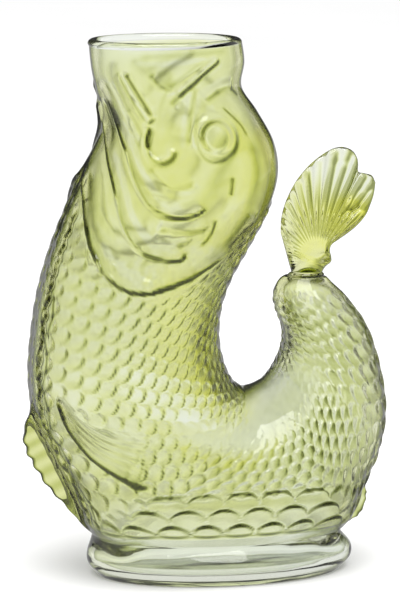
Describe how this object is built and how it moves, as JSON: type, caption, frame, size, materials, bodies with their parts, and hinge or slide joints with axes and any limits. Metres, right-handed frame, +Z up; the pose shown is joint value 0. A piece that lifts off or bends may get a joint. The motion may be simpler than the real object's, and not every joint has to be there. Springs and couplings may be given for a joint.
{
  "type": "gurgle jug",
  "caption": "Gurgle jug in the shape of a fish standing on an oval foot: it pours from its open mouth and is held by its raised hollow tail.",
  "frame": {"origin": "on the table, under the middle of the jug's overall length and depth", "axes": "+X towards the tail, which is the handle; +Y towards the fish's right side; +Z up"},
  "size_m": [0.1636, 0.097, 0.24],
  "materials": {
    "green_glass": "gloss",
    "pale_glass": "gloss"
  },
  "bodies": {
    "root": {"mouth_rim": "pale_glass", "head": "green_glass", "chest": "green_glass", "belly": "green_glass", "tail": "green_glass", "tail_fin": "green_glass", "foot": "pale_glass", "base": "pale_glass", "eye_left": "green_glass", "eye_right": "green_glass", "lip_left": "green_glass", "lip_right": "green_glass", "cheek_left": "green_glass", "cheek_right": "green_glass", "gill_cover_left": "green_glass", "gill_cover_right": "green_glass", "pectoral_fin_left": "green_glass", "pectoral_fin_right": "green_glass", "belly_fin": "green_glass", "rear_fin": "green_glass"}
  },
  "joints": []
}
